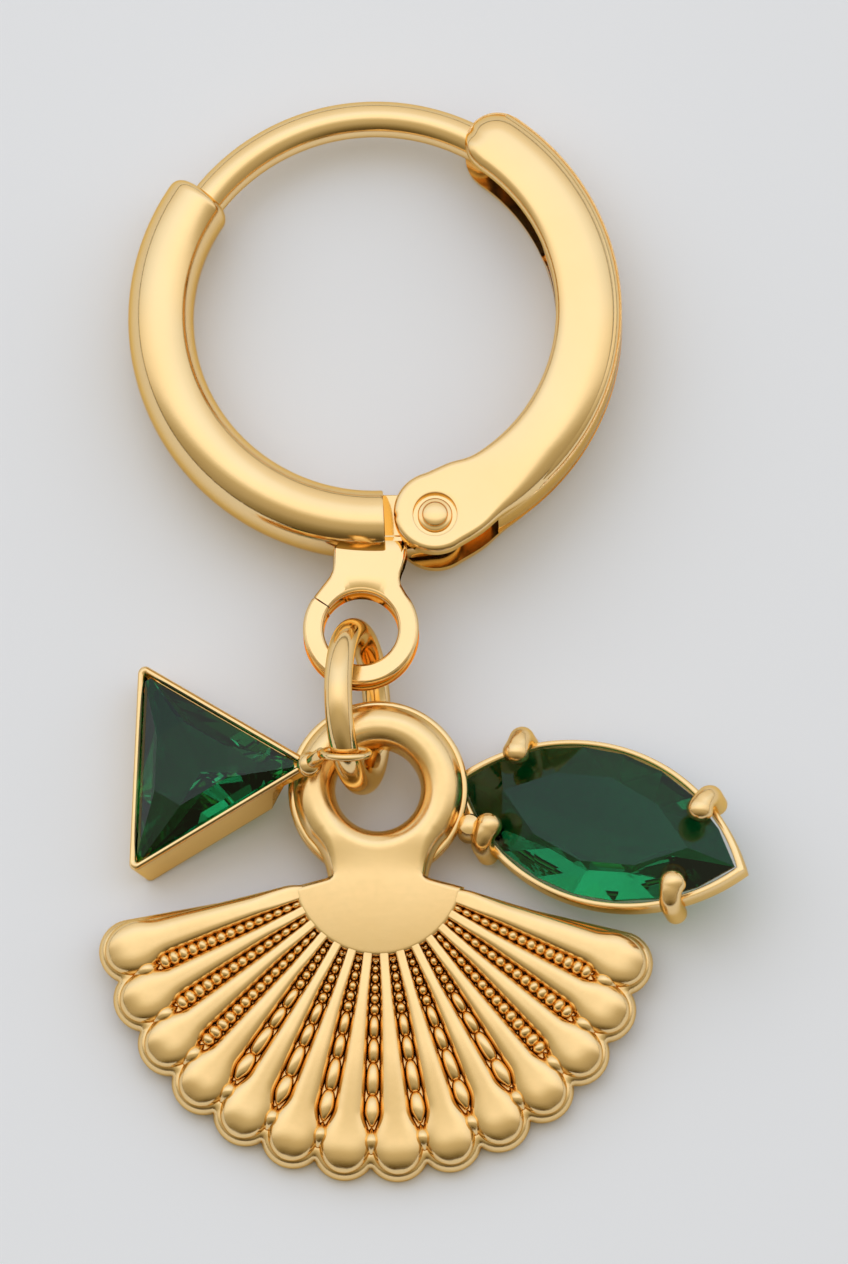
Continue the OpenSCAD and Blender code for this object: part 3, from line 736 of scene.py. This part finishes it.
# Bail and hub in one skin: bent lines from the hole to the outline, their height the level less the
# falls of both edges. One half is worked out, then mirrored
def bailAndHub():
    up, hole, out = places["bailUp"], fan["bailHole"], fan["bailOut"]
    ends = bail["rowEnds"]
    row = np.arange(ends[-1] + 1)
    a = np.radians(np.interp(row, ends, bail["holeAngles"]))
    turn = np.stack([np.cos(a), np.sin(a)], -1)
    inner = hole * turn + (0, up)
    ringPart = out * turn[:ends[1] + 1] + (0, up)
    notch, corner = np.array(bail["notch"]), fanPoints([fan["hubCorner"]], fan["hub"])
    t = np.linspace(0, 1, ends[2] - ends[1] + 1)[1:, None]
    neckPart = (1 - t) ** 2 * ringPart[-1] + 2 * t * (1 - t) * np.array(bail["neckBend"]) + t ** 2 * notch
    t = np.linspace(0, 1, ends[3] - ends[2] + 1)[1:, None]
    rimPart = fanPoints(np.linspace(fan["hubCorner"], 0, ends[4] - ends[3] + 1)[1:], fan["hub"])
    edge = np.vstack([ringPart, neckPart, notch + t * (corner - notch), rimPart])
    bends = np.vstack([(inner[ends[1]] + ringPart[-1]) / 2, bail["bends"]])
    control = np.stack([np.interp(row, ends[1:], bends[:, k]) for k in (0, 1)], -1)
    control[:len(ringPart)] = (inner[:len(ringPart)] + ringPart) / 2
    table = np.array(bail["edge"])
    wide, deep = (np.interp(row, table[:, 0], table[:, k]) for k in (1, 2))
    edge, inner, control = (np.vstack([half, half[-2:0:-1] * (-1, 1)]) for half in (edge, inner, control))
    wide, deep = (np.concatenate([half, half[-2:0:-1]])[:, None] for half in (wide, deep))
    t = ((1 - np.cos(np.linspace(0, np.pi, 48))) / 2)[None, :, None]
    plan = (1 - t) ** 2 * inner[:, None] + 2 * t * (1 - t) * control[:, None] + t ** 2 * edge[:, None]
    level = hubLevel(np.hypot(plan[..., 0], plan[..., 1]))
    level = level + (fan["bailCrest"] - level) * easeIn(plan[..., 1], *bail["onRing"])
    fromHole = np.hypot(plan[..., 0], plan[..., 1] - up) - hole
    fromEdge = distanceTo(plan, np.vstack([edge, edge[:1]]))
    z = level - edgeFall(fromEdge, wide, deep) - edgeFall(fromHole, *bail["holeEdge"])
    under = np.dstack([plan[:, ::-1], np.full(z.shape, 0.02)])
    return closedRing(np.concatenate([np.dstack([plan, z]), under], axis=1))


# Flange under the bail: a flat washer with rounded edges
def flange():
    hole, out, thick, edge = fan["bailHole"], fan["flange"], fan["flangeThick"], fan["flangeEdge"]
    q = np.linspace(0, np.pi / 2, 6)
    radius = np.concatenate([[hole + 0.04, hole + 0.002, hole + 0.002, 1.5], out - edge * (1 - np.sin(q)),
                             [out, out - 0.03]])
    height = np.concatenate([[0.0, 0.04, 0.4, thick], thick - edge * (1 - np.cos(q)), [0.03, 0.0]])
    a = loopAngles(160)
    x, y = radius * np.cos(a)[:, None], radius * np.sin(a)[:, None]
    return closedRing(np.stack([x, y + places["bailUp"], np.broadcast_to(height, x.shape)], -1))


fanBase = makePiece("fanPlate", joined((fanPlate(), fanPlane)), cast, "earring", ["fan_charm"])
# Painted shade in the grooves: the plate's top face takes a share of the deep tone, fading out towards the
# lobes
placed = np.array([v.co for v in fanBase.data.vertices]) / mm
local = (placed - fanPlane[:3, 3]) @ fanPlane[:3, :3]
fromApex = np.hypot(local[:, 0], local[:, 1])
grooveShadeStart, grooveShadeEnd = fan["grooveShadeEnd"]
keepOnPoints(fanBase, "groove", fan["grooveShadeShare"] * (local[:, 2] > 0.3)
             * np.clip((grooveShadeEnd - fromApex) / (grooveShadeEnd - grooveShadeStart), 0, 1))

ribParts = [(ribShape(a, tip, -1 if k == 0 else 1 if k == len(angles) - 1 else 0), fanPlane)
            for k, (a, tip) in enumerate(zip(angles, tips))]
makePiece("fanRibs", joined(*ribParts), cast, "earring", ["fan_charm"])

beadParts = [(beadRow((angles[k] + angles[k + 1]) / 2, (tips[k] + tips[k + 1]) / 2), fanPlane)
             for k in range(len(angles) - 1)]
makePiece("fanBeads", joined(*beadParts), cast, "earring", ["fan_charm"], 60)

makePiece("fanBail", joined((bailAndHub(), bailPlane), (flange(), bailPlane)), cast, "earring",
          ["fan_charm"])


# Marquise setting: a lens-shaped band, four claws, and the solder that holds it to the bail

marquise = {
    "long": 7.1, "wide": 3.65, "wall": 0.19, "gap": 0.035,
    # section of the band: share of the wall from its inner side, and height
    "band": ((0, -0.5), (0, -0.02), (0.06, 0.03), (0.2, 0.05), (0.5, 0.06), (0.8, 0.04), (0.95, -0.02),
             (1, -0.10), (1, -0.46), (0.7, -0.5), (0.3, -0.5)),
    "clawX": 2.4, "claw": 0.27, "bead": 0.335, "swell": (0.62, 0.9), "tipFrom": 0.845,
    # way of a claw: along the stone, out from its edge, and height
    "clawWay": ((0.06, 0.32, -0.5), (0.06, 0.32, -0.1), (0.06, 0.32, 0.28), (0.05, 0.24, 0.50),
                (0.02, 0.08, 0.61), (0.0, -0.10, 0.62), (0.0, -0.44, 0.56)),
    # solder between bail and band: its place from the bail's middle, then radius and height
    "postAt": (2.205, -0.9),
    "post": ((0.26, 0.42), (0.3, 0.48), (0.3, 0.9), (0.3, 1.15), (0.24, 1.28), (0.1, 1.34)),
}


# Radius of the arc that makes one side of a lens
def lensRadius(long, wide):
    return (long * long + wide * wide) / (4 * wide)


# Lens outline: two equal arcs that meet in two tips, points even in angle
def lensOutline(long, wide, count):
    r = lensRadius(long, wide)
    half = math.asin(long / (2 * r))
    a = np.linspace(half, -half, count // 2, endpoint=False)
    upper = np.stack([r * np.sin(a), r * np.cos(a) - r + wide / 2], -1)
    return np.vstack([upper, -upper])


# Band: round the outline a thin section between two lenses, its top edge rounded. A lens that is
# wider by a margin all round is longer by about one and a half times that
def marquiseBand():
    long, wide, wall, gap = (marquise[key] for key in ("long", "wide", "wall", "gap"))
    outer = lensOutline(long + 3 * wall, wide + 2 * wall, 160)
    inner = lensOutline(long + 2.6 * gap, wide + 2 * gap, 160)
    across, high = np.array(marquise["band"]).T
    plan = inner[:, None, :] + across[None, :, None] * (outer - inner)[:, None, :]
    return closedRing(np.dstack([plan, np.broadcast_to(high, plan.shape[:2])]))


# Claw: a bar that stands outside the band, bends over the stone's edge and swells to a bead
def clawShape(xSide, ySide):
    r = lensRadius(marquise["long"], marquise["wide"])
    edge = math.sqrt(r * r - marquise["clawX"] ** 2) - r + marquise["wide"] / 2
    knots = np.array(marquise["clawWay"])
    along = np.linspace(0, 1, 46)
    way = np.stack([np.interp(along, np.linspace(0, 1, len(knots)), knots[:, k]) for k in range(3)], -1)
    for _ in range(4):   # rounds the corners of the way
        way[1:-1] = (way[:-2] + 2 * way[1:-1] + way[2:]) / 4
    radius = marquise["claw"] + (marquise["bead"] - marquise["claw"]) * easeIn(along, *marquise["swell"])
    toTip = np.clip((along - marquise["tipFrom"]) / (1 - marquise["tipFrom"]), 0, 1)
    radius = radius * np.sqrt(np.maximum(1 - toTip ** 2.1, 0.0004))
    points, quads, caps = roundBar(way + np.array([marquise["clawX"], edge, 0]), radius, (1, 0, 0), 28)
    return points * np.array([xSide, ySide, 1]), quads, caps


postX, postY = marquise["postAt"]
post = laid @ moved(places["bail"][0] + postX, places["bail"][1] + postY, 0)
clawParts = [(clawShape(x, y), marquisePlane) for x in (-1, 1) for y in (-1, 1)]
postParts = [(spun(*np.array(marquise["post"]).T, 40), post)]
makePiece("marquiseSetting", joined((marquiseBand(), marquisePlane), *postParts, *clawParts),
          cast, "earring", ["fan_charm"])


# Triangle setting: bezel cup, tip bead, stem and eye

triangle = {
    "height": 1.3, "wall": 0.17, "corner": 0.17, "innerCorner": 0.05, "shelf": 0.84, "shelfWide": 0.25,
    # section of the rim: share of the wall from its outer side, and how far below the top
    "rim": ((0.0, 0.09), (0.12, 0.035), (0.35, 0.0), (0.65, 0.0), (0.9, 0.035), (1.0, 0.09)),
    "foot": 0.04, "footIn": 0.12,
    "bead": 0.31, "beadFlat": 0.92, "stem": 0.18, "stemRise": 0.06, "eye": 0.56, "eyeWire": 0.09,
    "clear": 0.08, "lowest": 0.13, "slope": 3.2,   # room over the bail, and how steeply the cut falls
}


# Triangle with rounded corners, one on +X: straight sides, and each corner an arc of 120 degrees
def roundedTriangle(inRadius, corner, perCorner=14, perSide=70):
    arcs = []
    for turn in np.radians((0, 120, 240)):
        a = turn + np.radians(np.linspace(-60, 60, perCorner))
        middle = (2 * inRadius - 2 * corner) * np.array([math.cos(turn), math.sin(turn)])
        arcs.append(middle + corner * np.stack([np.cos(a), np.sin(a)], -1))
    t = np.linspace(0, 1, perSide + 2)[1:-1, None]
    sides = [arcs[k][-1] + t * (arcs[(k + 1) % 3][0] - arcs[k][-1]) for k in range(3)]
    return np.vstack([part for pair in zip(arcs, sides) for part in pair])


# Bezel: round the outline a section from the outer wall over the rim to the shelf, in many levels,
# so that the tip can be cut back
def bezelShape():
    inRadius, wall, top = places["triangleIn"], triangle["wall"], triangle["height"]
    outer = roundedTriangle(inRadius, triangle["corner"])
    inner = roundedTriangle(inRadius - wall, triangle["innerCorner"])
    shelf = roundedTriangle(inRadius - wall - triangle["shelfWide"], triangle["innerCorner"])
    share, below = np.array(triangle["rim"]).T
    levels = np.linspace(triangle["foot"], top - below[0], 22)[:-1]
    rim = outer[:, None] + share[:, None] * (inner - outer)[:, None]
    foot = outer + triangle["footIn"] * (inner - outer)
    plan = np.concatenate([np.repeat(outer[:, None], len(levels), axis=1), rim,
                           np.stack([inner, shelf, shelf, foot], axis=1)], axis=1)
    z = np.concatenate([levels, top - below, [triangle["shelf"], triangle["shelf"], 0.0, 0.0]])
    return closedRing(np.dstack([plan, np.broadcast_to(z, plan.shape[:2])]))


# The cup is cut back over the bail: its points are raised along the wall to the least height, which
# is just above the bail inside its circle and falls with the distance outside it
def clearedOfBail(shape):
    points, quads, caps = shape
    middle = (laid @ np.array([*places["bail"], 1]))[:2]
    lowest = places["bail"][2] + fan["bailCrest"] + triangle["lowest"]
    along = trianglePlane[:3, 2]
    points = points.copy()
    for _ in range(4):
        beyond = np.linalg.norm(points[:, :2] - middle, axis=1) - fan["flange"] - triangle["clear"]
        least = lowest - triangle["slope"] * np.maximum(beyond, 0)
        points += np.maximum(least - points[:, 2], 0)[:, None] * along / along[2]
    return points, quads, caps


bead, eye = np.array(places["tipBead"]), np.array(places["eye"])
t = np.linspace(0, 1, 14)[:, None]
stemPath = bead + t * (eye - (triangle["eye"], 0, 0.1) - bead)
stemPath[:, 2:] += triangle["stemRise"] * np.sin(np.pi * t)
bezel = clearedOfBail(joined((bezelShape(), trianglePlane)))
makePiece("triangleSetting",
          joined((bezel, np.eye(4)), (ball(bead, triangle["bead"], triangle["beadFlat"]), laid),
                 (roundBar(stemPath, triangle["stem"]), laid),
                 (wireRing(triangle["eye"], triangle["eyeWire"], 96, 20), eyePlane)),
          polished, "earring", ["triangle_setting"])


# Stones keep the cut of the solids and take the glass

for name in ("marquise_stone", "triangle_stone"):
    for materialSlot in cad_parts[name].material_slots:
        materialSlot.material = emerald
print("stones dressed")


# Floor, light and camera

studio = {
    "floorSize": 1.2, "floorDrop": 2e-6,   # m
    "paint": ("#EEF1F8", "#ECEFF6"),
    "byHeight": ((0.0, "#4E4632"), (0.03, "#8E8672"), (0.11, "#D8D5CE"), (0.80, "#F3F3F3"), (1.0, "#FFFFFF")),
    # from in front of the earring (0) to behind it (1)
    "byDepth": ((0.02, "#5A4E34"), (0.09, "#82785A"), (0.20, "#A39A82"), (0.36, "#AFA78F"), (0.44, "#C9C4B6"),
                (0.49, "#E2DFDA"), (0.54, "#EDECEA"), (0.61, "#F1F1F1"), (0.70, "#E9F1FF"), (0.78, "#E9F1FF"),
                (0.88, "#E4E4E4")),
    "skyStrength": 1.38,
    "keyTowards": (-0.55, 0.75, 1.0), "keyAway": 0.30, "keySize": (0.34, 0.26), "keyPower": 0.15,   # m and W
    "elevation": 77.0, "lens": 600.0, "sensor": 36.0,
    "frameHeight": 30.6, "lookAt": (0.0, 0.05, 1.2),   # mm
}

# Painted board, dead matt and plain, with a breath of unevenness
boardMaterial, tree = newMaterial("mattPaintedBoard")
spread = addNode(tree, "ShaderNodeTexNoise", {
    "Vector": addNode(tree, "ShaderNodeTexCoord").outputs["Object"], "Scale": 30.0, "Detail": 2.0})
paint = addNode(tree, "ShaderNodeMix", {
    "Factor": spread.outputs["Fac"], "A": linear(studio["paint"][0]), "B": linear(studio["paint"][1])},
    data_type="RGBA")
shader = addNode(tree, "ShaderNodeBsdfPrincipled", {
    "Base Color": paint.outputs["Result"], "Roughness": 0.9, "Specular IOR Level": 0.2})
addNode(tree, "ShaderNodeOutputMaterial", {"Surface": shader.outputs["BSDF"]})

half, drop = studio["floorSize"] / 2, studio["floorDrop"]
board = bpy.data.meshes.new("floor")
corners = [(x * half, y * half, -drop) for x, y in ((-1, -1), (1, -1), (1, 1), (-1, 1))]
board.from_pydata(corners, [], [(0, 1, 2, 3)])
board.materials.append(boardMaterial)
floor = bpy.data.objects.new("floor", board)
bpy.context.scene.collection.objects.link(floor)

# Sky: brighter the higher it is, and brighter behind the earring than in front of it
world = bpy.data.worlds.new("studio")
bpy.context.scene.world = world
world.use_nodes = True
tree = world.node_tree
tree.nodes.clear()
towards = addNode(tree, "ShaderNodeTexCoord").outputs["Generated"]
axes = addNode(tree, "ShaderNodeSeparateXYZ", {"Vector": towards}).outputs
depth = addNode(tree, "ShaderNodeMapRange", {"Value": axes["Y"], "From Min": -1.0, "From Max": 1.0})
shares = []
for value, stops in ((axes["Z"], studio["byHeight"]), (depth.outputs["Result"], studio["byDepth"])):
    ramp = addNode(tree, "ShaderNodeValToRGB", {"Fac": value})
    for k, (place, tone) in enumerate(stops):
        stop = ramp.color_ramp.elements[k] if k < 2 else ramp.color_ramp.elements.new(place)
        stop.position, stop.color = place, linear(tone)
    shares.append(ramp.outputs["Color"])
product = addNode(tree, "ShaderNodeVectorMath", {0: shares[0], 1: shares[1]}, operation="MULTIPLY")
sky = addNode(tree, "ShaderNodeBackground", {
    "Color": product.outputs["Vector"], "Strength": studio["skyStrength"]})
addNode(tree, "ShaderNodeOutputWorld", {"Surface": sky.outputs["Background"]})


# A light or a camera at a place, its -Z axis looking back along the way
def aimed(name, data, place, way):
    holder = bpy.data.objects.new(name, data)
    holder.location = place
    holder.rotation_mode = "QUATERNION"
    holder.rotation_quaternion = way.to_track_quat("Z", "Y")
    bpy.context.scene.collection.objects.link(holder)
    return holder


lamp = bpy.data.lights.new("keyLight", "AREA")
lamp.shape = "RECTANGLE"
lamp.size, lamp.size_y = studio["keySize"]
lamp.energy = studio["keyPower"]
way = Vector(studio["keyTowards"]).normalized()
keyLight = aimed("keyLight", lamp, way * studio["keyAway"], way)
keyLight.visible_glossy = False    # lights the board, and leaves the reflections to the sky

camera = bpy.data.cameras.new("photoCamera")
camera.lens, camera.sensor_width = studio["lens"], studio["sensor"]
camera.clip_start, camera.clip_end = 0.01, 10.0    # m
rise = math.radians(studio["elevation"])
back = Vector((0, -math.cos(rise), math.sin(rise)))
away = studio["frameHeight"] * mm / studio["sensor"] * studio["lens"]   # m at which the frame is that high
bpy.context.scene.camera = aimed("photoCamera", camera, Vector(studio["lookAt"]) * mm + back * away, back)
bpy.context.scene.view_settings.view_transform = "Standard"
print("studio ready")
